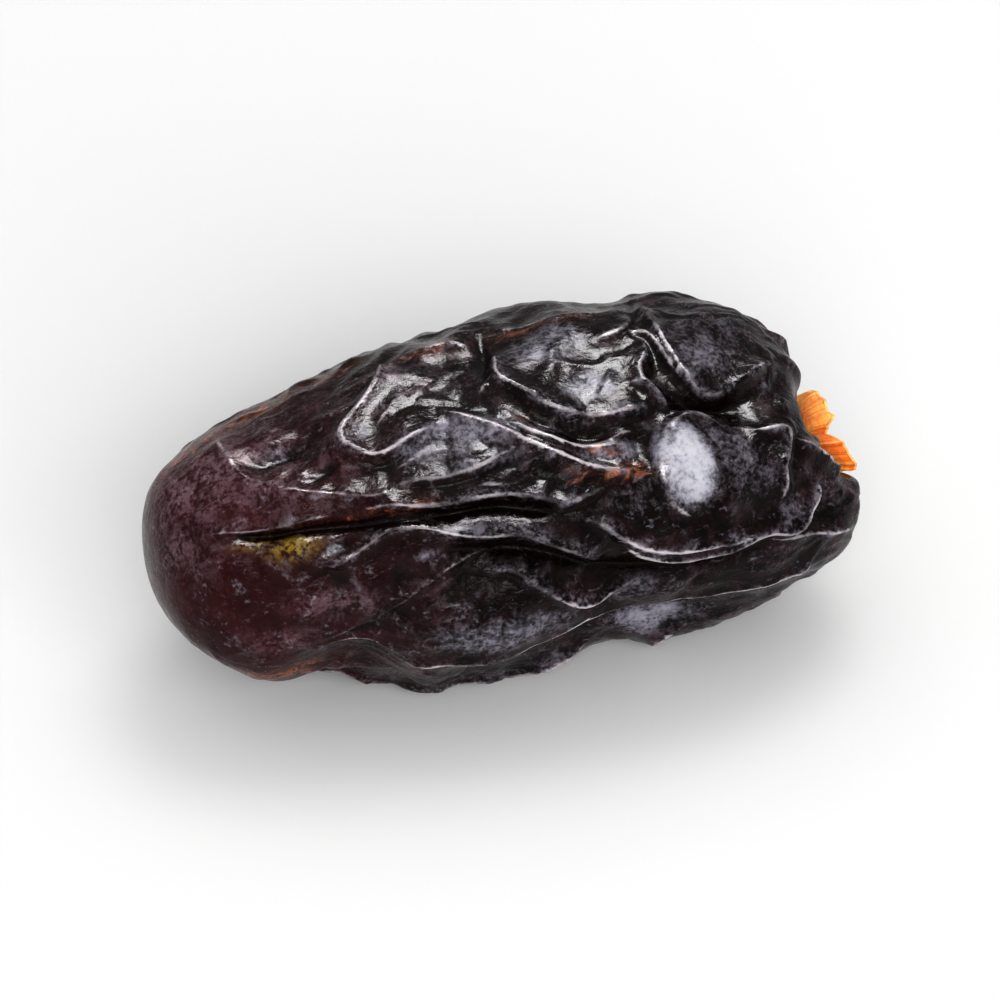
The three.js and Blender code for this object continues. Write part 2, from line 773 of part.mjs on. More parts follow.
const fruitSkin = new THREE.MeshStandardMaterial({
  color: 0x240c0e,
  roughness: 0.38,
  metalness: 0,
});
const calyxWood = new THREE.MeshStandardMaterial({
  color: 0xb5651d,
  roughness: 0.75,
  metalness: 0,
});

const fruit = new THREE.Mesh(makeFruit(), fruitSkin);
fruit.name = "fruit";
const calyx = new THREE.Mesh(makeCalyx(), calyxWood);
calyx.name = "calyx";

// Both pieces move together, so that the date lies on z = 0 round the origin
const outline = new THREE.Box3().setFromObject(fruit).union(new THREE.Box3().setFromObject(calyx));
const middle = outline.getCenter(new THREE.Vector3());
const date = new THREE.Group();
date.name = "medjool_date";
for (const piece of [fruit, calyx]) {
  piece.geometry.translate(-middle.x, -middle.y, -outline.min.z);
  piece.geometry.computeVertexNormals();
  date.add(piece);
}

export default date;
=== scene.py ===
import math
import bpy
import numpy as np
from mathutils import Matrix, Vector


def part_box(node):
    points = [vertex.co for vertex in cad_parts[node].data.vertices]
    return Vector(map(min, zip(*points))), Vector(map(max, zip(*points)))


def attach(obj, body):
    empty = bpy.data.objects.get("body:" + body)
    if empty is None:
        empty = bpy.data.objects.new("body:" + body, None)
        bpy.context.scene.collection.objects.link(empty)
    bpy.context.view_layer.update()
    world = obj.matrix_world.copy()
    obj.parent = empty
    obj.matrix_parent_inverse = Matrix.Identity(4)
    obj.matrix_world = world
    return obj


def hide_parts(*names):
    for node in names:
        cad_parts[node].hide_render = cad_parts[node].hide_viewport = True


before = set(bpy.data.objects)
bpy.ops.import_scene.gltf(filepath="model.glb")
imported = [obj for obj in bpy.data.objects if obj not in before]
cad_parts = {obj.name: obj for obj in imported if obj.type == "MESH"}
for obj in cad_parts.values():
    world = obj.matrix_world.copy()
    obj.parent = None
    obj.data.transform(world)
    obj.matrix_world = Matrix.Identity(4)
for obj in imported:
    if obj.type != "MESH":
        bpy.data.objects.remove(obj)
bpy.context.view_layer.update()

# The fruit: one soft sun-dried date, skin and flesh together. It shrank as it dried, so the
# skin stands in folds. Sizes are in millimetres. A place on the skin is (along, around): the
# distance from the blossom end over the smooth body, and degrees from the top towards -Y.
widest_x = 2.0
widest_radius = 11.75
blossom_length = 26.2
stem_length = 20.6
blossom_powers = (1.9, 0.38)
stem_powers = (2.6, 0.4)
body_height_share = 0.96
stem_face_share = (0.55, 0.85)
stem_face_tilt = 0.29
stem_face_low_side = 128
hollow_depth = 3.6
hollow_radius = 4.0
skin_rings = 262
skin_sides = 370
profile_points = 4001

# The profile from the blossom end to the stem end, with its points crowded towards both ends
walk = np.linspace(-1, 1, profile_points)
to_end = np.where(walk < 0, -blossom_length, stem_length)
profile_x = widest_x + to_end * (1 - (1 - abs(walk)) ** 3)
share = (profile_x - widest_x) / to_end
profile_radius = widest_radius * np.where(
    walk < 0,
    np.clip(1 - share ** blossom_powers[0], 0, 1) ** blossom_powers[1],
    np.clip(1 - share ** stem_powers[0], 0, 1) ** stem_powers[1],
)
profile_along = np.append(0, np.cumsum(np.hypot(np.diff(profile_x), np.diff(profile_radius))))
skin_length = profile_along[-1]


def smoothstep(value, low, high):
    share = np.clip((value - low) / (high - low), 0, 1)
    return share * share * (3 - 2 * share)


def smooth_body(along, around):
    """Points of the body without its folds; the stem end is slanted and hollow."""
    x = np.interp(along, profile_along, profile_x)
    radius = np.interp(along, profile_along, profile_radius)
    turn = np.radians(around)
    slant = stem_face_tilt * radius * np.cos(turn - math.radians(stem_face_low_side))
    hollow = hollow_depth * np.exp(-((radius / hollow_radius) ** 2))
    stem_share = smoothstep(along / skin_length, *stem_face_share)
    return np.stack([
        x + stem_share * (slant - hollow),
        -radius * np.sin(turn),
        radius * np.cos(turn) * body_height_share,
    ], -1)


# Broad lumps and hollows: place, height, and reach along in mm and around in degrees
broad_lumps = [
    ((53, 100), 1.3, (4.5, 30)),
    ((51, 0), -0.5, (5, 38)),
    ((16, 92), -0.7, (5, 30)),
    ((9, 75), 0.5, (6, 45)),
    ((16, 0), -0.5, (6, 40)),
    ((27, 98), 0.9, (6, 16)),
    ((37, 94), 0.6, (3, 14)),
    ((44, 92), 0.5, (3.2, 12)),
    ((24, 72), -1.3, (5, 11)),
    ((36, -4), 0.7, (6, 12)),
    ((46, 0), 0.5, (4, 16)),
    ((41, 50), 0.8, (3.4, 15)),
    ((13.7, 9.5), -0.9, (2.2, 6)),
    ((16.2, 25), -0.4, (1.1, 3.5)),
    ((16.3, 55.5), -0.6, (1.3, 3.5)),
    ((16, -55), -0.5, (6, 35)),
    ((5, -40), 0.4, (5, 50)),
    ((29, -50), 0.6, (5, 25)),
    ((38.5, -48), 0.2, (3.5, 25)),
    ((10, 112), 0.9, (5, 25)),
    ((16.5, 120), -1.4, (3.5, 18)),
    ((35, 120), -2.8, (7.5, 28)),
    ((47, -40), 1.5, (5, 40)),
    ((50.5, -25), 1.5, (4, 45)),
    ((53, -12), 0.15, (3, 40)),
    ((27.5, -42), -0.3, (3, 16)),
    ((34, -38), 0.8, (4, 18)),
    ((42.5, -45), 0.25, (2.5, 16)),
    ((52.5, 72), -0.4, (2.5, 16)),
    ((53, 42), -0.8, (2.5, 22)),
    ((49, 118), 0.55, (2, 12)),
    ((46.3, 132), -0.1, (1.8, 12)),
    ((41.5, 140), 0.8, (3.5, 18)),
    ((21.8, 150), 0.6, (2, 14)),
    ((16.8, 152), -1.0, (2.4, 16)),
    ((11.8, 135), 0.5, (3, 18)),
    ((34, 150), 0.75, (7, 22)),
    ((20, 192), 0.5, (6, 20)),
    ((40, 232), 0.9, (5, 18)),
    ((28, 268), -0.8, (7, 18)),
    ((45, 292), 0.7, (4, 20)),
    ((17, 300), 0.6, (5, 25)),
]
# Folds: height, widths of the steep and the gentle flank in mm, which side of the path is steep,
# and the path of places that the crest follows
folds = {
    "rim round the blossom dimple": (0.4, 0.8, 1.6, -1, [
        (10.3, -22), (10.5, -6), (10.8, 8), (11.4, 17), (12.7, 24), (14.3, 30), (16.6, 35),
        (19.1, 39), (21.8, 37.5),
    ]),
    "big hook": (1.05, 0.55, 1.9, 1, [
        (23.4, -17), (22.4, -11), (21.6, -4), (20.3, 3), (18.9, 9), (18.1, 15), (18.6, 20),
        (20.1, 24.5), (22.3, 22), (24.5, 19),
    ]),
    "crease inside the hook": (0.4, 0.5, 0.9, 1, [
        (23.3, 0.5), (22, 7), (20.9, 12), (19.8, 16),
    ]),
    "top crest, left part": (0.85, 0.7, 2.2, 1, [
        (23.4, -17), (25.1, -15.5), (27.1, -14.5), (28.8, -9.5),
    ]),
    "top crest, right part": (0.45, 0.8, 2.0, 1, [
        (29.8, -20.5), (31.7, -16.5), (34.5, -14.5), (37.7, -14), (40.5, -16.5),
    ]),
    "slope up to the top crest": (0.5, 0.6, 1.4, 1, [
        (35.4, 1), (37.4, -1), (39.1, -4), (40.7, -14.5),
    ]),
    "star, trunk and long arm": (1.05, 0.6, 2.4, 1, [
        (29.5, -8.5), (29.4, 0.5), (29.1, 8.5), (30.4, 15.5), (31.5, 21.5), (33.3, 25.5),
        (35.4, 27.5), (37.4, 27.5), (39, 26),
    ]),
    "star, short arm": (0.7, 0.5, 1.3, -1, [
        (29.1, 5.5), (28.3, 8), (27.6, 11.5), (27.1, 14.5),
    ]),
    "squiggle beside the bright facet": (0.8, 0.45, 1.2, -1, [
        (38.9, 0), (39.7, 3), (39.6, 8), (38.6, 13.5), (38.5, 18.5), (39.1, 22.5), (39.5, 28),
        (39.1, 32.5),
    ]),
    "loop over the squiggle": (0.7, 0.5, 0.9, 1, [
        (38.9, 0), (39.6, -2), (40.6, -0.5), (41.1, 5.5), (41.3, 12.5), (41.9, 21),
    ]),
    "edge of the top plate": (0.95, 0.5, 2.4, 1, [
        (41.9, -22), (41.8, -14), (41.6, -6.5), (41.6, 5.5), (41.9, 16.5), (42.6, 24.5),
        (43.9, 25), (45.1, 22.5), (46.9, 18), (49, 10),
    ]),
    "low lip of the dark hollow": (0.4, 0.4, 0.7, -1, [
        (40, 31), (41, 33), (42.7, 33), (44.6, 34),
    ]),
    "arch over the pale facet": (0.75, 0.5, 1.3, -1, [
        (37.8, 42.5), (38.4, 38.5), (39.8, 34.5), (41.5, 32), (42.5, 36), (43.6, 40),
    ]),
    "left rim of the pale facet": (0.75, 0.4, 1.6, 1, [
        (37.8, 42.5), (37.8, 48.5), (37.7, 55), (38.3, 62), (39.6, 68),
    ]),
    "shoulder line": (0.85, 0.5, 1.7, -1, [
        (44.4, 38.5), (45.5, 42), (47.2, 43), (46.8, 49.5), (45.9, 55.5), (45.5, 62), (44.6, 72),
    ]),
    "long crest below the shoulder line": (0.7, 0.9, 1.5, -1, [
        (47.3, 44.5), (48.8, 50.5), (50.3, 58), (51.6, 68), (52.9, 78),
    ]),
    "smile, upper lip": (0.95, 0.45, 1.9, 1, [
        (31.8, 59.5), (33.4, 62), (34.5, 67), (36.1, 73), (38.1, 76.5), (40.8, 77.5),
        (43.3, 78.5),
    ]),
    "smile, lower lip": (1, 0.5, 1.1, 1, [
        (34.5, 69), (35.8, 76), (37.8, 80.5), (40.4, 82), (42.1, 80), (43.8, 79.5), (45.4, 82.5),
        (46.8, 78), (48.1, 71), (48.4, 65),
    ]),
    "slanting crest in the middle": (0.8, 0.5, 1.5, -1, [
        (24.4, 12.5), (25.8, 18.5), (27.7, 25.5), (29.6, 32.5), (31.4, 38.5), (33.2, 43.5),
        (35.1, 47), (36.5, 46.5),
    ]),
    "second slanting crest": (0.65, 0.5, 1.0, -1, [
        (27.8, 22), (29.4, 27.5), (31.4, 33.5), (33.4, 37), (35, 36.5), (36.4, 34.5),
        (37.7, 36.5),
    ]),
    "fork of the middle plate": (0.7, 0.5, 1.6, 1, [
        (19.8, 38), (21.5, 36.5), (23.8, 37.5), (25.8, 37), (27.5, 34.5), (29, 33),
    ]),
    "faint crease in the middle plate": (0.35, 0.5, 0.9, 1, [
        (20.1, 32), (21.8, 29.5), (23.8, 28), (25.1, 28.5),
    ]),
    "upper long crest": (0.85, 0.5, 1.3, 1, [
        (17.7, 43), (19.8, 43), (21.8, 45), (24.3, 46.5), (26.5, 46), (28.3, 47.5), (30.1, 50.5),
        (31.4, 53), (32.8, 51.5), (34.8, 50),
    ]),
    "twin of the upper long crest": (0.4, 0.4, 0.7, 1, [
        (24.5, 43.5), (26, 42.5), (27.4, 43.5), (28.9, 46.5),
    ]),
    "lower long crest": (1.05, 0.6, 1.7, 1, [
        (14.1, 59.5), (15.8, 60.5), (17.4, 57), (19.5, 51.5), (21.8, 52.5), (24.1, 57),
        (26.1, 59.5), (28.1, 60.5), (29.9, 65.5), (31.9, 71), (33.4, 77),
    ]),
    "pinch at the blossom end": (0.4, 0.5, 1.8, 1, [
        (6.5, 37), (8.4, 38.5), (10.2, 41), (12.6, 42.5), (15.3, 42), (17.7, 43),
    ]),
    "low pinch at the blossom end": (0.35, 0.5, 1.1, 1, [
        (10.4, 50), (11.7, 57.5), (13.1, 66), (14.3, 62.5),
    ]),
    "edge of the dark sweep": (0.7, 0.8, 2.4, 1, [
        (13.8, 100), (15.5, 95), (17.4, 89.5), (19.5, 82), (21.5, 74.5), (24.1, 67.5),
        (27.1, 64.5),
    ]),
    "zigzag crest": (0.9, 0.6, 1.3, 1, [
        (24.8, 73.5), (26.8, 72.5), (28.1, 75.5), (29.3, 81), (30.8, 87.5), (32.6, 91),
        (34.4, 88), (36.1, 86),
    ]),
    "small crest over the low bulge": (0.35, 0.5, 0.8, 1, [
        (21.9, 85), (23.3, 83.5), (24.9, 84),
    ]),
    "crest under the dark wedge": (0.6, 0.6, 1.4, -1, [
        (43.6, 83.5), (45.6, 87), (47.5, 92), (49.1, 98), (50.7, 105),
    ]),
    "edge of the smooth end": (0.3, 0.5, 1.3, 1, [
        (16.3, 60), (15.4, 65), (14.5, 72), (13.7, 80.5), (12.6, 90.5),
    ]),
    "small crest past the dimple": (0.3, 0.4, 0.7, 1, [
        (14.3, 17), (14.9, 24), (15.7, 28.5),
    ]),
    "second small crest past the dimple": (0.3, 0.4, 0.7, -1, [
        (14.4, 26.5), (15.4, 25.5), (16.3, 19.5),
    ]),
    "faint crease on the smooth end": (0.25, 0.5, 1.0, 1, [
        (9, 15.5), (8, 26), (7.6, 35.5),
    ]),
    "bottom pleat": (0.3, 0.7, 1.5, 1, [
        (12.6, 106), (15.3, 103), (17.5, 101.5), (19.3, 107), (20.8, 114),
    ]),
    "bottom edge": (0.7, 1.0, 1.6, 1, [
        (19.6, 113), (24.1, 111), (29.1, 110.5), (32.6, 106.5), (36.1, 107), (40.1, 109.5),
        (44, 106), (47.5, 109),
    ]),
}
# Creases between the folds: depth and width in mm, and the path of places along the bottom
valleys = [
    (1.0, 0.8, [
        (8.8, 40.5), (11.5, 45), (14.3, 46), (17.2, 48), (19.6, 48.5), (23.1, 50), (26.6, 50.5),
        (29.1, 54), (31.1, 57.5),
    ]),
    (0.8, 0.7, [
        (29.1, -20.5), (29, -6.5), (28.5, 1), (27.5, 8),
    ]),
    (0.8, 1.0, [
        (31.5, 29.5), (33.7, 34.5), (36.4, 36.5), (38.7, 36.5),
    ]),
    (1.3, 1.2, [
        (40, 27.5), (41.7, 29), (43.7, 29.5), (45.9, 27),
    ]),
    (1.2, 1.1, [
        (22.5, 62), (25.1, 65), (28.1, 67.5), (30.1, 71), (32.5, 78), (34.9, 82), (37.9, 85),
        (40.1, 86.5), (42.7, 83.5),
    ]),
    (0.9, 0.8, [
        (32.4, 92.5), (32.6, 97), (32.4, 104),
    ]),
    (0.7, 0.6, [
        (40.1, 86.5), (39.8, 92), (39, 98), (38.4, 104),
    ]),
    (1.1, 1.0, [
        (45.8, 85.5), (47.2, 84), (48.6, 78), (49.3, 70),
    ]),
    (0.7, 0.6, [
        (36.5, 52.5), (36.4, 56.5), (36.8, 62),
    ]),
    (0.4, 0.7, [
        (29.4, 41.5), (30.8, 48), (32.1, 52),
    ]),
    (0.8, 1.3, [
        (20.5, 79), (19.1, 85), (17.8, 91), (15.8, 98),
    ]),
]

# The back and the underside carry the same folds moved round the fruit, as in the solid. Each
# path drifts to and fro on the way, and each fold's height is drawn anew. A copy starts at one
# place round the fruit and lands at another, turned over or not, and slides along.
back_copies = [
    dict(start=105, turnover=-1, lands=108, slide=1.5, share=0.85, seed=11),
    dict(start=-20, turnover=1, lands=224, slide=-2, share=1, seed=29),
]
back_squeeze = 0.93
back_span = (137, 316)
back_heights = (0.75, 1.25)
drift_along = 1.4
drift_around = 5
drift_waves_round = 3
drift_wave_pace = 0.35


def seeded(seed):
    """The same row of random numbers that the solid uses."""
    state = seed
    while True:
        state = (state + 0x6D2B79F5) & 0xFFFFFFFF
        t = ((state ^ state >> 15) * (1 | state)) & 0xFFFFFFFF
        t = (t + ((t ^ t >> 7) * (61 | t) & 0xFFFFFFFF) & 0xFFFFFFFF) ^ t
        yield ((t ^ t >> 14) & 0xFFFFFFFF) / 4294967296


def drawn(random, low, high):
    return low + (high - low) * next(random)


def moved_behind(lines):
    """The lines that fit on the back, once for each of the two copies."""
    moved = []
    for copy in back_copies:
        random = seeded(copy["seed"])
        phase = 2 * math.pi * next(random)
        for height, steep, gentle, steep_side, path in lines:
            around = [copy["lands"] + copy["turnover"] * back_squeeze * (b - copy["start"])
                      for a, b in path]
            share = copy["share"] * drawn(random, *back_heights)
            new = []
            for (a, b), c in zip(path, around):
                wave = math.sin(math.radians(drift_waves_round * c) + phase)
                sway = math.sin(drift_wave_pace * a + phase)
                new.append((a + copy["slide"] + drift_along * wave, c + drift_around * sway))
            if all(back_span[0] < c < back_span[1] for a, c in new):
                side = steep_side * copy["turnover"]
                moved.append((height * share, steep, gentle, side, new))
    return moved


# Pleats gather at the shoulder round the calyx
pleat_count = 15
pleat_starts = (49.5, 52)
pleat_end = 57.5
pleat_heights = (0.35, 0.7)
pleat_flanks = (0.6, 1.2)
pleat_scatter = 0.6
pleat_bend = 5
first_pleat = -30
pleats = []
random = seeded(5)
for i in range(pleat_count):
    around = first_pleat + 360 / pleat_count * (i + drawn(random, 0, pleat_scatter))
    bent = around + drawn(random, -pleat_bend, pleat_bend)
    start = drawn(random, *pleat_starts)
    height = drawn(random, *pleat_heights)
    steep_side = 1 if next(random) < 0.5 else -1
    path = [(start, around), ((start + pleat_end) / 2, bent), (pleat_end, around)]
    pleats.append((height, *pleat_flanks, steep_side, path))

# Small wrinkles run between the folds, mostly along the fruit
wrinkle_count = 420
wrinkle_span = (0.08, 0.93)
wrinkle_step = 0.7
wrinkle_steps = (3, 10)
wrinkle_slant = 0.55
wrinkle_bend = 0.35
wrinkle_height = (0.08, 0.24)
wrinkle_steep_flank = 0.22
wrinkle_gentle_flank = (0.3, 0.7)
wrinkle_rounding = 0.1
wrinkle_taper = 1.2
degrees_per_mm = 4.9
draw = np.random.default_rng(8)
wrinkles = []
for i in range(wrinkle_count):
    spot = np.array([skin_length * draw.uniform(*wrinkle_span), draw.uniform(-30, 330)])
    heading = draw.normal(0, wrinkle_slant)
    path = [tuple(spot)]
    for k in range(draw.integers(*wrinkle_steps)):
        heading += draw.normal(0, wrinkle_bend)
        step = np.array([math.cos(heading), degrees_per_mm * math.sin(heading)])
        spot = spot + wrinkle_step * step
        path.append(tuple(spot))
    size = draw.uniform(*wrinkle_height)
    gentle = draw.uniform(*wrinkle_gentle_flank)
    wrinkles.append((size, wrinkle_steep_flank, gentle, draw.choice([-1, 1]), path))


curve_points = 24
piece_length = 0.35


def curve_through(path):
    """Short straight pieces along a smooth curve through the points, on the skin rolled flat."""
    p = np.array([(a, math.radians(b) * widest_radius) for a, b in path])
    p = np.vstack([2 * p[0] - p[1], p, 2 * p[-1] - p[-2]])
    dense = []
    for k in range(1, len(p) - 2):
        steps = np.linalg.norm(np.diff(p[k - 1:k + 3], axis=0), axis=1)
        knots = np.append(0, np.cumsum(steps ** 0.5))
        t = np.linspace(knots[1], knots[2], curve_points)[:, None]

        def blend(first, second, low, high):
            return (first * (high - t) + second * (t - low)) / (high - low)

        pairs = [blend(p[k - 1 + i], p[k + i], knots[i], knots[i + 1]) for i in range(3)]
        triples = [blend(pairs[i], pairs[i + 1], knots[i], knots[i + 2]) for i in range(2)]
        dense.append(blend(triples[0], triples[1], knots[1], knots[2]))
    dense = np.vstack(dense)
    length = np.append(0, np.cumsum(np.linalg.norm(np.diff(dense, axis=0), axis=1)))
    even = np.linspace(0, length[-1], max(2, int(length[-1] / piece_length)) + 1)
    return np.stack([np.interp(even, length, dense[:, i]) for i in (0, 1)], -1)


end_taper = 2.2
end_share = 0.25
flank_reach = 5
crest_band = 0.14
full_crest_height = 0.6
lean_band = 0.7
rolled_round = 2 * math.pi * widest_radius


def nearest_piece(spots, line):
    """For each spot the nearest piece of the line, how far along that piece the nearest point
    lies as a share, the gap to it, and the way from the piece's start."""
    way = np.diff(line, axis=0)
    off = spots[:, None, :] - line[None, :-1]
    share = np.clip((off * way).sum(2) / (way ** 2).sum(1), 0, 1)
    gap = off - share[..., None] * way
    best = np.hypot(gap[..., 0], gap[..., 1]).argmin(1)
    row = np.arange(len(spots))
    return best, share[row, best], gap[row, best], off[row, best]


def raise_lines(lines, along, around, rounding, taper, lean=0.0, ridge=0.0, ridge_width=0.3):
    """Height of the lines at each place, how near a crest is, and the crest's sideways lean.

    Where lines meet the highest wins, by a sum of fourth powers. ridge is the share of the
    height that stands as a narrow ridge on the broad fold."""
    total = np.zeros(len(along))
    crest = np.zeros(len(along))
    shift = np.zeros((len(along), 2))
    base = np.radians(np.mod(around, 360)) * widest_radius
    for size, steep, gentle, steep_side, path in lines:
        line = curve_through(path)
        reach = flank_reach * max(steep, gentle)
        low, high = line.min(0) - reach, line.max(0) + reach
        for arc in (base, base - rolled_round):
            spots = np.stack([along, arc], -1)
            near = np.flatnonzero(((spots > low) & (spots < high)).all(1))
            if not len(near):
                continue
            best, share, gap, off = nearest_piece(spots[near], line)
            distance = np.hypot(gap[:, 0], gap[:, 1])
            way = line[best + 1] - line[best]
            side = np.where(way[:, 0] * off[:, 1] - way[:, 1] * off[:, 0] < 0, -1, 1)
            piece = np.linalg.norm(line[1] - line[0])
            walked = (best + share) * piece
            to_end = np.minimum(walked, piece * (len(line) - 1) - walked)
            run_out = end_share + (1 - end_share) * smoothstep(to_end, 0, taper)
            width = np.where(side * steep_side > 0, steep, gentle)
            apart = np.hypot(distance, rounding) - rounding
            fall = (1 - ridge) * np.exp(-apart / width) + ridge * np.exp(-apart / ridge_width)
            height = size * run_out * fall
            total[near] += height ** 4
            strength = run_out * min(1, size / full_crest_height)
            near_crest = strength * np.exp(-((distance / crest_band) ** 2))
            crest[near] = np.maximum(crest[near], near_crest)
            if lean:
                across = np.stack([-way[:, 1], way[:, 0]], -1) / piece * steep_side
                push = lean * size * run_out * np.exp(-((distance / lean_band) ** 2))
                shift[near] += push[:, None] * across
    return total ** 0.25, crest, shift


wave_count = 26
wave_paces = (0.6, 1.6)


def ripple(points, wavelength, seed):
    """A smooth random swelling: a sum of waves that run every way."""
    draw = np.random.default_rng(seed)
    ways = draw.normal(size=(wave_count, 3))
    ways /= np.linalg.norm(ways, axis=1)[:, None]
    ways *= (2 * math.pi / wavelength) * draw.uniform(*wave_paces, (wave_count, 1))
    waves = np.sin(points @ ways.T + draw.uniform(0, 2 * math.pi, wave_count))
    return waves.sum(1) / math.sqrt(wave_count / 2)


# The relief fades out at both poles, and is weaker on the smooth blossom end
blossom_calm = (1.5, 6)
stem_calm = (2.5, 6)
smooth_end = (9, 20)
least_wrinkled = 0.45
# Broad and fine swelling: height, wavelength in mm, and seed
swellings = [(0.11, 5.5, 3), (0.035, 1.9, 4)]
crest_rounding = 0.12
crest_ridge = 0.13
pleat_rounding = 0.35
pleat_crest_share = 0.5
crest_lean = 0.14
snap_distance = 0.095
snap_margin = 0.2

ring = np.arange(skin_rings)
side = np.arange(skin_sides)
along_grid = np.repeat(skin_length * (ring + 1) / (skin_rings + 1), skin_sides)
around_grid = (360 * (side[None, :] + (ring[:, None] % 2) / 2) / skin_sides).ravel()
along = np.concatenate([[0], along_grid, [skin_length]])
around = np.concatenate([[0], around_grid, [0]])

crest_lines = list(folds.values())
crest_lines += moved_behind(crest_lines)
valley_lines = [(depth, reach, reach, 1, path) for depth, reach, path in valleys]
valley_lines += moved_behind(valley_lines)

# Points of the mesh that lie close to a crest move onto it, so that the crest is unbroken
snap_pull = np.full(len(along), snap_distance)
snapped = np.stack([along, np.radians(around) * widest_radius], -1)
for size, steep, gentle, steep_side, path in crest_lines + pleats:
    line = curve_through(path)
    low, high = line.min(0) - snap_margin, line.max(0) + snap_margin
    for wrap in (0, rolled_round):
        spots = np.stack([along, np.radians(around) * widest_radius - wrap], -1)
        near = np.flatnonzero(((spots > low) & (spots < high)).all(1))
        if not len(near):
            continue
        gap = nearest_piece(spots[near], line)[2]
        distance = np.hypot(gap[:, 0], gap[:, 1])
        close = distance < snap_pull[near]
        chosen = near[close]
        snap_pull[chosen] = distance[close]
        snapped[chosen] = (spots[near] - gap)[close] + [0, wrap]
along, around = snapped[:, 0], np.degrees(snapped[:, 1] / widest_radius)

crest_height, crest_near, crest_shift = raise_lines(
    crest_lines, along, around, crest_rounding, end_taper, crest_lean, crest_ridge)
pleat_height, pleat_near, _ = raise_lines(pleats, along, around, pleat_rounding, end_taper)
crest_height = (crest_height ** 4 + pleat_height ** 4) ** 0.25
crest_near = np.maximum(crest_near, pleat_crest_share * pleat_near)
valley_depth, _, _ = raise_lines(valley_lines, along, around, crest_rounding, end_taper)
wrinkle_rise, wrinkle_near, _ = raise_lines(
    wrinkles, along, around, wrinkle_rounding, wrinkle_taper)

lump_rise = np.zeros(len(along))
for (a, b), height, (reach_along, reach_around) in broad_lumps:
    apart = np.mod(around - b + 180, 360) - 180
    lump_rise += height * np.exp(-((along - a) / reach_along) ** 2 - (apart / reach_around) ** 2)

fade = smoothstep(along, *blossom_calm) * smoothstep(skin_length - along, *stem_calm)
body = smooth_body(along, around)
wrinkled = least_wrinkled + (1 - least_wrinkled) * smoothstep(along, *smooth_end)
swelling = sum(height * ripple(body, wavelength, seed) for height, wavelength, seed in swellings)
rise = fade * (lump_rise + crest_height - valley_depth + wrinkled * (wrinkle_rise + swelling))

# The relief stands square to the body, and the crests lean over sideways
step_along = 0.05
step_around = 1.0
along_way = smooth_body(along + step_along, around) - smooth_body(along - step_along, around)
around_way = smooth_body(along, around + step_around) - smooth_body(along, around - step_around)
outward = np.cross(around_way, along_way)
for way in (outward, along_way, around_way):
    way /= np.linalg.norm(way, axis=1)[:, None] + 1e-12
outward[[0, -1]] = 0
crest_shift *= fade[:, None]
skin = body + rise[:, None] * outward
skin += crest_shift[:, :1] * along_way + crest_shift[:, 1:] * around_way

# The skin goes where its solid is, and is flat where the solid lies on the floor
low, high = (np.array(corner) * 1000 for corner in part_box("fruit"))
stretch = np.minimum(1, (high - low)[:2] / np.ptp(skin, axis=0)[:2])
skin[:, :2] = (skin[:, :2] - skin[:, :2].mean(0)) * stretch
skin[:, :2] += (low + high)[:2] / 2 - (skin.min(0) + skin.max(0))[:2] / 2
skin[:, 2] = np.maximum(low[2], skin[:, 2] + high[2] - skin[:, 2].max())


def ring_faces(rings, sides, staggered):
    """Triangles between rings of points, closed by a pole at each end.

    Staggered rings lie half a step on from those before and after them."""
    a = 1 + sides * np.arange(rings - 1)[:, None] + np.arange(sides)[None, :]
    b = 1 + sides * np.arange(rings - 1)[:, None] + (np.arange(sides)[None, :] + 1) % sides
    c, d = a + sides, b + sides
    odd = (np.arange(rings - 1) % 2 == 1)[:, None, None] | (not staggered)
    first = np.where(odd, np.stack([a, b, d], -1), np.stack([a, b, c], -1))
    second = np.where(odd, np.stack([a, d, c], -1), np.stack([b, d, c], -1))
    start = np.arange(sides)
    after = (start + 1) % sides
    last = 1 + rings * sides
    pole = np.stack([0 * start, 1 + after, 1 + start], -1)
    end = np.stack([0 * start + last, last - sides + start, last - sides + after], -1)
    return np.vstack([first.reshape(-1, 3), second.reshape(-1, 3), pole, end])


def mesh_piece(name, points_mm, faces, marks):
    """A smooth-shaded mesh object in metres, with named values at its points."""
    mesh = bpy.data.meshes.new(name)
    mesh.vertices.add(len(points_mm))
    mesh.vertices.foreach_set("co", (points_mm / 1000).astype(np.float32).ravel())
    mesh.loops.add(faces.size)
    mesh.loops.foreach_set("vertex_index", faces.astype(np.int32).ravel())
    mesh.polygons.add(len(faces))
    mesh.polygons.foreach_set("loop_start", np.arange(0, faces.size, 3, dtype=np.int32))
    mesh.update(calc_edges=True)
    mesh.validate()
    mesh.polygons.foreach_set("use_smooth", np.ones(len(mesh.polygons), dtype=bool))
    for mark, values in marks.items():
        layer = mesh.attributes.new(mark, "FLOAT", "POINT")
        layer.data.foreach_set("value", values.astype(np.float32))
    piece = bpy.data.objects.new(name, mesh)
    bpy.context.scene.collection.objects.link(piece)
    return piece


def patch(places, power=1):
    """How strongly each point belongs to a set of patches on the skin; power 2 firms their edges."""
    strength = np.zeros(len(along))
    for (a, b), amount, (reach_along, reach_around) in places:
        apart = np.mod(around - b + 180, 360) - 180
        off = ((along - a) / reach_along) ** 2 + (apart / reach_around) ** 2
        strength = np.maximum(strength, amount * np.exp(-off ** power))
    return strength


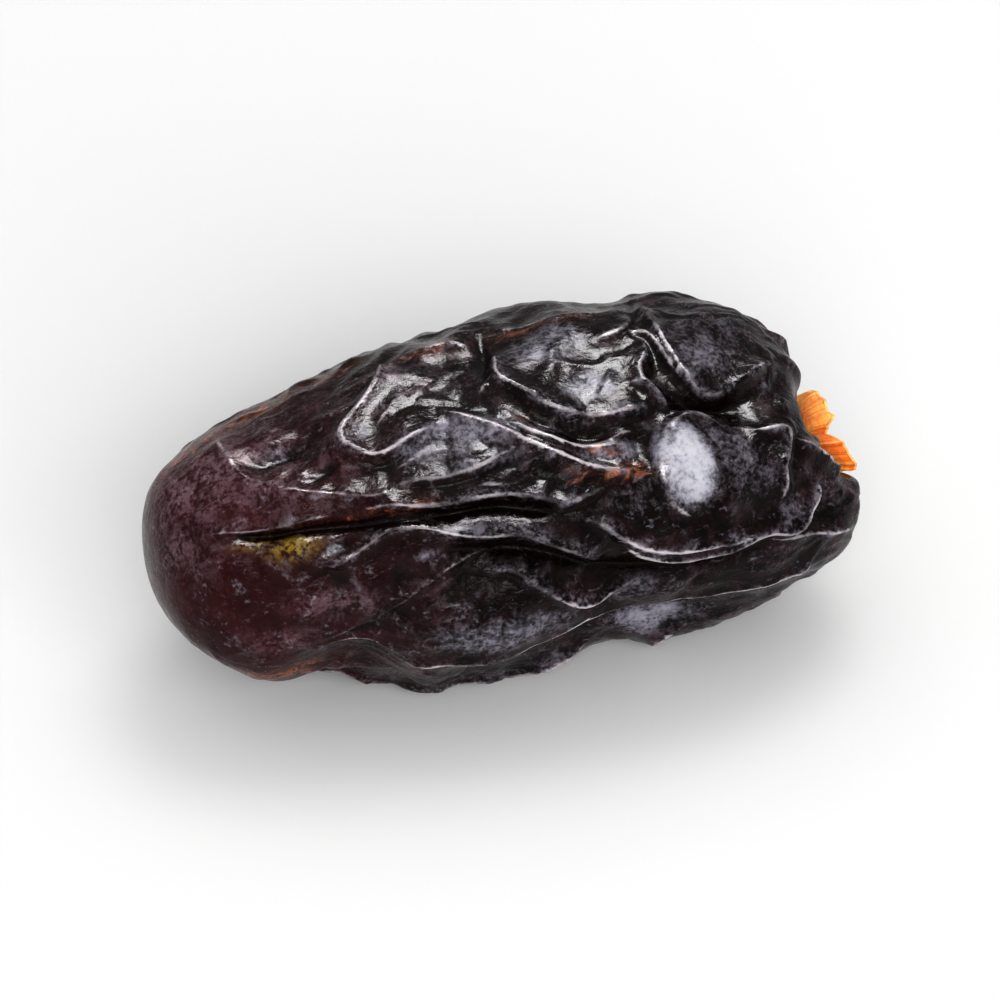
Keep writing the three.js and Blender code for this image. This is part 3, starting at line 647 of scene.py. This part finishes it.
# Where the skin is thin it shows amber, in a few creases and along two edges
amber_places = [
    ((9.0, -31), 1.0, (2.6, 8)),
    ((13.5, -32), 1.0, (3.0, 6)),
    ((18.0, -33), 0.5, (3.0, 5)),
    ((25.7, -15), 0.35, (2.5, 2.5)),
    ((32.5, -13.5), 0.35, (4.0, 2.5)),
    ((19.3, 44.0), 0.6, (2.5, 1.5)),
    ((29.9, 23), 0.6, (0.6, 2)),
    ((34.7, 38.5), 0.9, (0.9, 2.5)),
    ((32.2, 45.5), 0.5, (0.8, 2)),
    ((35.9, 47.5), 0.9, (1.7, 2)),
    ((18.0, 45.5), 0.8, (2.6, 2)),
    ((11.8, 125), 0.9, (2.8, 6)),
    ((20.0, 205), 0.6, (5, 8)),
    ((33.0, 262), 0.5, (5, 6)),
]
# Dried sugar in the long crease at the blossom end is mustard yellow
sugar_places = [((13.2, 51.5), 1.0, (1.5, 5)), ((11.4, 47.5), 0.8, (1.6, 3))]
# The plates that face up keep most of the pale wax; these patches also paint the sheen, glints and
# reflection on the skin
wax_and_sheen_places = [
    ((39.5, 49), 1.0, (2.2, 16.5)),
    ((42.8, 46), 0.5, (2.4, 14)),
    ((43.5, 58), 0.45, (2.2, 10)),
    ((34.8, 17.0), 0.7, (2.4, 7)),
    ((33.0, -3), 0.6, (3.8, 10)),
    ((35.0, 40), 0.65, (2.6, 5)),
    ((37.4, 131), 0.7, (3.2, 11)),
    ((44.5, 118), 0.4, (3, 12)),
    ((26.2, 35), 0.5, (4.0, 4)),
    ((45.6, 75), 0.45, (1.6, 8)),
    ((15.1, 24.3), 0.5, (0.9, 3)),
    ((21.8, 63.8), 0.5, (1.2, 3)),
    ((43.8, 9), 0.5, (3.6, 14)),
    ((21.5, 2), 0.45, (3.0, 9)),
    ((37.0, 11), 0.5, (1.0, 7)),
    ((45.5, -4), 0.4, (4, 16)),
    ((22.5, 6), 0.25, (3, 12)),
    ((27.0, 2), 0.25, (4, 14)),
    ((25, 25), 0.6, (6, 9)),
    ((31.5, 29), 0.5, (3, 3)),
    ((35.5, 56), 0.35, (2.2, 5)),
    ((13.4, 7), 0.6, (1.6, 5)),
    ((19.2, 15), 0.6, (1.2, 5)),
    ((15.9, 55.5), 0.8, (0.8, 2)),
    ((26.5, 98), 0.6, (6, 9)),
    ((35.0, 92), 0.5, (2.2, 9)),
    ((43.5, 93), 0.25, (3, 9)),
    ((24.0, 52), 0.3, (4, 3)),
    ((30.0, 150), 0.4, (7, 16)),
    ((38.0, 245), 0.5, (5, 18)),
    ((24.0, 290), 0.4, (6, 16)),
    ((44.0, 305), 0.4, (4, 16)),
]
# A thin frost lies on the blossom end, thickest where it faces up
frost_places = [
    ((8, 0), 0.9, (6, 34)),
    ((4.5, 42), 0.7, (3.5, 24)),
    ((13, 22), 0.6, (5, 16)),
    ((15.5, 79), 0.8, (2.4, 6)),
    ((12, 96), 0.6, (2.5, 6)),
    ((22, 118), 0.4, (5, 8)),
    ((22, -8), 0.5, (5, 14)),
    ((9, 160), 0.6, (6, 30)),
    ((11, 250), 0.7, (6, 45)),
]
# On some folds the pale crest line, partly painted highlight, is left off
crest_line_gaps = [((16.5, 88), 0.9, (3.5, 8)), ((21.5, 73), 0.9, (4.0, 9)), ((11, 24), 0.6, (3, 6)),
                ((45.5, 23), 0.8, (3.5, 8))]
# The blossom end is reddish: full up to the first distance, gone at the second
red_end = (10, 26)

# How far each point stands out of, or lies below, the skin within about a millimetre round it. It
# drives the paler skin on what stands out, partly rubbed wax and partly painted light, and the painted
# shade in what lies low.
compared_points = 9
compared_spread = 5
proud_calm = (0.5, 2)
fine_strength = 1.6
shifts = np.arange(-compared_points, compared_points + 1)
weights = np.exp(-(shifts / compared_spread) ** 2)
around_it = rise[1:-1].reshape(skin_rings, skin_sides)
for axis in (0, 1):
    rolled = [weight * np.roll(around_it, shift, axis) for shift, weight in zip(shifts, weights)]
    around_it = sum(rolled) / weights.sum()
proud = np.zeros(len(along))
proud[1:-1] = rise[1:-1] - around_it.ravel()
proud *= smoothstep(skin_length - along, *proud_calm)

fruit = mesh_piece("fruit_skin", skin, ring_faces(skin_rings, skin_sides, True), {
    "crest": np.clip(crest_near * fade * (1 - patch(crest_line_gaps)), 0, 1),
    "fine": np.clip(wrinkle_near * fine_strength * wrinkled, 0, 1),
    "valley": np.clip(valley_depth * fade, 0, 1),
    "amber": patch(amber_places),
    "sugar": patch(sugar_places),
    # pale wax bloom, and painted sheen, glints and reflection
    "wax_and_sheen": patch(wax_and_sheen_places, 2),
    "frost": patch(frost_places),
    "red": 1 - smoothstep(along, *red_end),
    "proud": proud,
})

# The dried skin is plum black and glossy. Its marks say where wax and painted sheen, frost, sugar, thin
# skin and pale crests (partly painted highlight) lie, and where painted shade darkens the creases;
# noises break them up.
skin_coat = bpy.data.materials.new("dried_skin")
skin_coat.use_nodes = True
tree = skin_coat.node_tree
tree.nodes.clear()


def node(tree, kind, **inputs):
    """A new node, its inputs set by name or number to a value or joined to another's output."""
    new = tree.nodes.new("ShaderNode" + kind)
    for key, value in inputs.items():
        numbered = key[0] == "i" and key[1:].isdigit()
        socket = new.inputs[int(key[1:]) if numbered else key.replace("_", " ")]
        if isinstance(value, bpy.types.NodeSocket):
            tree.links.new(value, socket)
        else:
            socket.default_value = value
    return new


def noise(tree, place, scale, detail, roughness, distortion=0.0):
    """Random clouds between 0 and 1, mostly near a half."""
    new = node(tree, "TexNoise", Vector=place, Scale=scale, Detail=detail,
               Roughness=roughness, Distortion=distortion)
    return new.outputs["Fac"]


def ramp(tree, value, low, high, least=0.0, most=1.0):
    """Turns a value from low to high into least to most, smoothly."""
    new = node(tree, "MapRange", Value=value)
    new.interpolation_type = "SMOOTHSTEP"
    for name, number in zip(("From Min", "From Max", "To Min", "To Max"), (low, high, least, most)):
        new.inputs[name].default_value = number
    return new.outputs["Result"]


def calculate(tree, operation, first, second):
    new = node(tree, "Math", i0=first, i1=second)
    new.operation = operation
    return new.outputs[0]


def times(tree, first, second):
    return calculate(tree, "MULTIPLY", first, second)


def plus(tree, first, second):
    return calculate(tree, "ADD", first, second)


def larger(tree, first, second):
    return calculate(tree, "MAXIMUM", first, second)


def tint(tree, share, first, second):
    """A mix of two colours."""
    new = tree.nodes.new("ShaderNodeMix")
    new.data_type = "RGBA"
    for number, value in ((0, share), (6, first), (7, second)):
        if isinstance(value, bpy.types.NodeSocket):
            tree.links.new(value, new.inputs[number])
        else:
            new.inputs[number].default_value = value
    return new.outputs[2]


def mark(tree, name):
    """A named value that the mesh holds at its points."""
    new = tree.nodes.new("ShaderNodeAttribute")
    new.attribute_name = name
    return new.outputs["Fac"]


black_plum = (0.0022, 0.0007, 0.0009, 1)
plum = (0.011, 0.0022, 0.0032, 1)
oxblood = (0.036, 0.0036, 0.0046, 1)
amber = (0.42, 0.15, 0.060, 1)
mustard = (0.20, 0.135, 0.012, 1)
haze_grey = (0.150, 0.095, 0.110, 1)
wax_and_sheen_grey = (0.24, 0.235, 0.275, 1)
bloom_and_sheen_white = (0.39, 0.39, 0.40, 1)
crest_grey_and_highlight = (0.42, 0.39, 0.41, 1)
painted_crease_shade = (0.0035, 0.0008, 0.0008, 1)

place = node(tree, "TexCoord").outputs["Object"]
along_skin = node(tree, "Mapping", Vector=place, Scale=(0.6, 1.0, 1.0)).outputs["Vector"]
clouds = noise(tree, place, 170, 5, 0.6, 0.6)
mottle = noise(tree, place, 800, 5, 0.65, 0.5)
specks = noise(tree, place, 3400, 3, 0.6)
streaks = noise(tree, along_skin, 1100, 5, 0.65, 1.2)
crinkle = noise(tree, along_skin, 1500, 4, 0.55, 0.8)
pits = node(tree, "TexVoronoi", Vector=place, Scale=1900).outputs["Distance"]
frost = plus(tree, times(tree, mottle, 0.6), times(tree, specks, 0.4))
wax_and_sheen = mark(tree, "wax_and_sheen")
crest = mark(tree, "crest")
# What stands out is made paler, partly rubbed wax and partly painted light; what lies low is darkened
# as painted shade
raised = ramp(tree, mark(tree, "proud"), 0.02, 0.30)
sunk = ramp(tree, mark(tree, "proud"), -0.02, -0.22)

# The skin itself, redder at the blossom end
colour = tint(tree, ramp(tree, mottle, 0.35, 0.65), black_plum, plum)
red_share = times(tree, mark(tree, "red"), ramp(tree, clouds, 0.3, 0.7, 0.45, 1.0))
colour = tint(tree, red_share, colour, oxblood)

# A thin haze over all of it, and the frost
haze_clouds = ramp(tree, clouds, 0.45, 0.7, 0.0, 0.3)
haze_share = times(tree, haze_clouds, ramp(tree, frost, 0.42, 0.62, 0.1, 0.9))
frost_share = times(tree, mark(tree, "frost"), ramp(tree, frost, 0.42, 0.58, 0.05, 1.0))
colour = tint(tree, larger(tree, haze_share, frost_share), colour, haze_grey)

# Wax and painted sheen: thick on its plates, where it also stands for sheen and glints; thin wax in
# streaks between them; and paler on what stands out, partly rubbed wax and partly painted light
wax_and_sheen_spread = plus(tree, frost, times(tree, wax_and_sheen, 0.4))
thick_wax_and_sheen = times(tree, ramp(tree, wax_and_sheen_spread, 0.58, 0.92), ramp(tree, wax_and_sheen, 0.0, 0.9, 0.2, 1.0))
thin_wax = times(tree, ramp(tree, streaks, 0.54, 0.66), ramp(tree, specks, 0.4, 0.65, 0.0, 0.35))
rubbed_wax_and_painted_light = times(tree, raised, ramp(tree, frost, 0.45, 0.62, 0.0, 0.45))
wax_and_sheen_share = larger(tree, larger(tree, thick_wax_and_sheen, thin_wax), rubbed_wax_and_painted_light)
colour = tint(tree, wax_and_sheen_share, colour, wax_and_sheen_grey)
# The whitest patches on the thickest places: partly pale bloom, partly painted sheen
bloom_and_sheen_share = times(tree, ramp(tree, wax_and_sheen, 0.6, 1.0), ramp(tree, frost, 0.38, 0.62, 0.25, 0.8))
bloom_and_sheen_share = times(tree, bloom_and_sheen_share, ramp(tree, clouds, 0.38, 0.58, 0.55, 1.0))
colour = tint(tree, bloom_and_sheen_share, colour, bloom_and_sheen_white)

# Amber thin skin and yellow sugar
amber_share = times(tree, mark(tree, "amber"), ramp(tree, streaks, 0.46, 0.62, 0.05, 0.8))
colour = tint(tree, amber_share, colour, amber)
sugar_share = times(tree, mark(tree, "sugar"), ramp(tree, frost, 0.44, 0.56))
colour = tint(tree, sugar_share, colour, mustard)

# Pale broken lines along the crests, partly rubbed wax and partly painted highlight, fainter pale lines
# on the wrinkles, and painted shade in the creases
crest_spread = plus(tree, crest, ramp(tree, streaks, 0.3, 0.7, -0.25, 0.35))
crest_pale_and_highlight_share = times(tree, ramp(tree, crest_spread, 0.3, 0.95, 0.0, 0.85),
                    ramp(tree, clouds, 0.38, 0.60, 0.1, 1.0))
crest_pale_and_highlight_share = times(tree, crest_pale_and_highlight_share, ramp(tree, crest, 0.0, 0.25))
# Painted highlight and rubbed wax along the crests
colour = tint(tree, crest_pale_and_highlight_share, colour, crest_grey_and_highlight)
fine_share = times(tree, mark(tree, "fine"), ramp(tree, mottle, 0.45, 0.66, 0.0, 0.4))
colour = tint(tree, fine_share, colour, wax_and_sheen_grey)
# Painted shade: near black in the creases, and where the skin lies low and bare of wax
bare_share = calculate(tree, "SUBTRACT", 0.92, wax_and_sheen_share)
crease_shade_share = larger(tree, ramp(tree, mark(tree, "valley"), 0.2, 1.1, 0.0, 0.8),
                      times(tree, sunk, bare_share))
colour = tint(tree, crease_shade_share, colour, painted_crease_shade)

# The wax and the painted sheen are duller than the skin, and the skin is finely crinkled and pitted
gloss = ramp(tree, frost, 0.38, 0.62, 0.13, 0.30)
gloss = plus(tree, gloss, times(tree, wax_and_sheen_share, 0.15))
grain = plus(tree, times(tree, specks, 0.35), times(tree, pits, 0.15))
bump = node(tree, "Bump", Strength=1.0, Distance=0.00007, Height=plus(tree, grain, crinkle))

shader = node(tree, "BsdfPrincipled", Base_Color=colour, Roughness=gloss, Normal=bump.outputs["Normal"])
shader.inputs["IOR"].default_value = 1.45
shader.inputs["Specular IOR Level"].default_value = 0.28
shader.inputs["Subsurface Weight"].default_value = 0.08
shader.inputs["Subsurface Radius"].default_value = (1.0, 0.25, 0.15)
shader.inputs["Subsurface Scale"].default_value = 0.001
out = tree.nodes.new("ShaderNodeOutputMaterial")
tree.links.new(shader.outputs[0], out.inputs["Surface"])
fruit.data.materials.append(skin_coat)

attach(fruit, "root")
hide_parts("fruit")

# The calyx: the dry woody cap that held the fruit on its strand. It sits in the hollow of the
# stem end. Notches part its rim into six ragged lobes, and the stalk's scar is in the middle.
calyx_radius = 3.9
calyx_gap = 0.4
calyx_sides = 192
calyx_solid_sides = 60
calyx_profile = [
    (0.16, 0), (0.32, 0), (0.48, 0), (0.62, 0.05), (0.75, 0.15), (0.87, 0.3), (0.96, 0.5),
    (1, 0.8), (0.99, 1.05), (0.93, 1.15), (0.83, 1.0), (0.7, 0.85), (0.56, 0.75), (0.44, 0.75),
    (0.34, 0.85), (0.3, 1.15), (0.25, 1.4), (0.19, 1.35), (0.14, 1.15), (0.07, 1.05),
]
calyx_scar_height = 1.0
lobe_depth = 0.05
rim_raggedness = 0.04
rim_lift = 0.9
# Notches in the rim: where round it in degrees, depth as a share of the radius, and reach
rim_notches = [
    (46, 0.15, 13), (108, 0.26, 9), (163, 0.17, 12), (226, 0.24, 10), (282, 0.19, 13), (334, 0.27, 16),
]
# Fine unevenness of the rim, as shares of the radius: smooth splinters, and a torn edge
splinter_share = 0.02
splinter_smoothing = np.hanning(9) / 4
torn_share = 0.012
# Fibres stand on the inside, from the first share of the radius outwards, full at the second
fibre_height = 0.05
fibre_band = (0.3, 0.6)
rim_row = 7
rows_a_step = 4
hollow_points = 800

random = seeded(17)
ragged = np.array([next(random) - 0.5 for i in range(calyx_solid_sides)])
turn_deg = np.arange(calyx_sides) * 360 / calyx_sides
turn = np.radians(turn_deg)
ragged = np.interp(turn_deg, np.arange(calyx_solid_sides + 1) * 360 / calyx_solid_sides,
                   np.append(ragged, ragged[0]))
draw = np.random.default_rng(6)
splinter = np.convolve(np.tile(draw.normal(0, 1, calyx_sides), 3), splinter_smoothing, "same")
splinter = splinter[calyx_sides:2 * calyx_sides]
row = np.arange(rows_a_step * (len(calyx_profile) - 1) + 1) / rows_a_step
shares = np.interp(row, range(len(calyx_profile)), [a for a, b in calyx_profile])
heights = np.interp(row, range(len(calyx_profile)), [b for a, b in calyx_profile])
rim_share = shares[:, None] ** 3
notch = sum(depth * np.exp(-((np.mod(turn_deg - at + 180, 360) - 180) / reach) ** 2)
            for at, depth, reach in rim_notches)
lobes = lobe_depth * np.cos(3 * turn) - notch
torn = draw.normal(0, 1, calyx_sides)
ragged_rim = rim_raggedness * ragged + splinter_share * splinter + torn_share * torn
radius = calyx_radius * shares[:, None] * (1 + rim_share * (lobes + ragged_rim))
# Its underside follows the hollow
end_along = np.linspace(stem_face_share[1] * skin_length, skin_length, hollow_points)
end_radius = np.interp(end_along, profile_along, profile_radius)
under = np.interp(-radius, -end_radius, end_along)
calyx_points = smooth_body(under, np.broadcast_to(turn_deg, under.shape))
top = (row > rim_row)[:, None]
fibre = fibre_height * splinter * smoothstep(shares, *fibre_band)[:, None] * top
# The rim turns up, but not at its notches
lift = rim_share * rim_lift * np.maximum(0, 1 - 3 * notch + ragged / 4)
calyx_points[..., 0] += calyx_gap + heights[:, None] + lift + fibre
middle = smooth_body(np.array([skin_length]), np.array([0.0]))[0]
poles = [middle + [calyx_gap, 0, 0], middle + [calyx_gap + calyx_scar_height, 0, 0]]
calyx_points = np.vstack([poles[:1], calyx_points.reshape(-1, 3), poles[1:]])
low, high = (np.array(corner) * 1000 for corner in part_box("calyx"))
stretch = np.minimum(1, (high - low) / np.ptp(calyx_points, axis=0))
calyx_points -= (calyx_points.min(0) + calyx_points.max(0)) / 2
calyx_points = calyx_points * stretch + (low + high) / 2


def round_marks(values):
    """The same values round every ring, and nothing at the two poles."""
    return np.concatenate([[0], np.tile(values, len(row)), [0]])


calyx = mesh_piece("calyx_cap", calyx_points, ring_faces(len(row), calyx_sides, False), {
    "rim": np.concatenate([[0], np.repeat(shares * top[:, 0], calyx_sides), [0]]),
    "notch": round_marks(notch),
    "turn_cosine": round_marks(np.cos(turn)),
    "turn_sine": round_marks(np.sin(turn)),
})

orange_wood = (0.74, 0.21, 0.028, 1)
light_wood = (0.95, 0.53, 0.15, 1)
dark_strand = (0.40, 0.09, 0.012, 1)
pale_strand = (0.92, 0.62, 0.26, 1)
notch_brown = (0.30, 0.07, 0.012, 1)
pale_rim = (0.86, 0.55, 0.22, 1)
scar_brown = (0.20, 0.06, 0.015, 1)

# The wood is orange, with a paler rim. Its strands are a noise over the turn round the middle, so
# they fan out from there.
wood = bpy.data.materials.new("dry_calyx")
wood.use_nodes = True
tree = wood.node_tree
tree.nodes.clear()
place = node(tree, "TexCoord").outputs["Object"]
rim = mark(tree, "rim")
patches = noise(tree, place, 420, 4, 0.6)
thread = noise(tree, place, 2600, 4, 0.7)
fan = node(tree, "CombineXYZ", X=mark(tree, "turn_cosine"), Y=mark(tree, "turn_sine"),
           Z=times(tree, rim, 0.12)).outputs[0]
strands = noise(tree, fan, 14, 5, 0.7, 0.2)
colour = tint(tree, ramp(tree, patches, 0.35, 0.65), orange_wood, light_wood)
colour = tint(tree, ramp(tree, strands, 0.46, 0.66, 0.0, 0.55), colour, dark_strand)
colour = tint(tree, ramp(tree, strands, 0.46, 0.34, 0.0, 0.5), colour, pale_strand)
colour = tint(tree, ramp(tree, mark(tree, "notch"), 0.06, 0.24, 0.0, 0.5), colour, notch_brown)
colour = tint(tree, ramp(tree, rim, 0.9, 1.0, 0.0, 0.55), colour, pale_rim)
scar_share = times(tree, ramp(tree, rim, 0.42, 0.22), ramp(tree, rim, 0.0, 0.02, 0.0, 0.7))
colour = tint(tree, scar_share, colour, scar_brown)
height = plus(tree, times(tree, thread, 0.5), strands)
bump = node(tree, "Bump", Strength=1.0, Distance=0.0003, Height=height)
shader = node(tree, "BsdfPrincipled", Base_Color=colour, Normal=bump.outputs["Normal"],
              Roughness=ramp(tree, thread, 0.3, 0.7, 0.55, 0.8))
shader.inputs["Subsurface Weight"].default_value = 0.15
shader.inputs["Subsurface Radius"].default_value = (1.0, 0.45, 0.2)
shader.inputs["Subsurface Scale"].default_value = 0.001
out = tree.nodes.new("ShaderNodeOutputMaterial")
tree.links.new(shader.outputs[0], out.inputs["Surface"])
calyx.data.materials.append(wood)

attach(calyx, "root")
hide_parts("calyx")

# The table: a plain matt white surface under and behind the fruit, with no edge in view. It
# only takes the shadow.
table_half = 0.9
table_white = (0.56, 0.56, 0.56, 1)
table_white_cloud = (0.58, 0.58, 0.58, 1)
table_mesh = bpy.data.meshes.new("table")
corners = [(x * table_half, y * table_half, 0) for x, y in ((-1, -1), (1, -1), (1, 1), (-1, 1))]
table_mesh.from_pydata(corners, [], [(0, 1, 2, 3)])
table = bpy.data.objects.new("table", table_mesh)
bpy.context.scene.collection.objects.link(table)
paper = bpy.data.materials.new("white_table")
paper.use_nodes = True
tree = paper.node_tree
shader = tree.nodes["Principled BSDF"]
place = node(tree, "TexCoord").outputs["Object"]
colour = tint(tree, noise(tree, place, 9, 3, 0.5), table_white, table_white_cloud)
tree.links.new(colour, shader.inputs["Base Color"])
shader.inputs["Roughness"].default_value = 1.0
shader.inputs["Specular IOR Level"].default_value = 0.0
table_mesh.materials.append(paper)

# The light of the studio: a broad soft box overhead, a small one behind at the right with a
# panel that only shows as the sheen, a soft box in front, and a fill that leaves no reflection
fruit_middle = np.array([0.0, 0.0, 0.011])


def softbox(name, place, width, height, power):
    """A lit panel turned towards the fruit."""
    light = bpy.data.lights.new(name, "AREA")
    light.shape = "RECTANGLE"
    light.size, light.size_y = width, height
    light.energy = power
    lamp = bpy.data.objects.new(name, light)
    bpy.context.scene.collection.objects.link(lamp)
    lamp.location = place
    aim = np.array(place) - fruit_middle
    yaw = math.atan2(aim[0], -aim[1])
    tilt = math.acos(aim[2] / np.linalg.norm(aim))
    lamp.rotation_euler = (tilt, 0, yaw)
    return lamp


softbox("overhead_softbox", (0.0, 0.05, 0.52), 1.0, 0.9, 1.6)
softbox("key_softbox", (0.105, 0.122, 0.46), 0.22, 0.20, 0.5)
sheen = softbox("sheen_softbox", (0.105, 0.122, 0.455), 0.26, 0.22, 4.6)
sheen.visible_diffuse = False
softbox("front_softbox", (-0.35, -1.4, 1.05), 0.75, 0.5, 7.6)
fill = softbox("fill_softbox", (0.0, -1.5, 0.8), 2.0, 1.2, 36.0)
fill.visible_glossy = False
world = bpy.data.worlds.new("studio")
world.use_nodes = True
background = world.node_tree.nodes["Background"]
background.inputs["Color"].default_value = (1, 1, 1, 1)
background.inputs["Strength"].default_value = 0.5
bpy.context.scene.world = world

# The camera looks down at the near side, from a little towards the blossom end. The view's
# tone curve is hard, so that the shadows of the folds go nearly black.
camera_turn = -16.5
camera_rise = 40.0
camera_distance = 0.381
camera_lens = 205
turn, rise = math.radians(camera_turn), math.radians(camera_rise)
back = np.array([math.sin(turn) * math.cos(rise), -math.cos(turn) * math.cos(rise), math.sin(rise)])
camera_data = bpy.data.cameras.new("camera")
camera_data.lens = camera_lens
camera_data.sensor_width = 36
camera_data.clip_start = 0.01
camera = bpy.data.objects.new("camera", camera_data)
bpy.context.scene.collection.objects.link(camera)
camera.location = fruit_middle + camera_distance * back
camera.rotation_euler = (math.radians(90 - camera_rise), 0, turn)
bpy.context.scene.camera = camera
view = bpy.context.scene.view_settings
view.view_transform = "Standard"
view.gamma = 0.70
view.exposure = 0.2
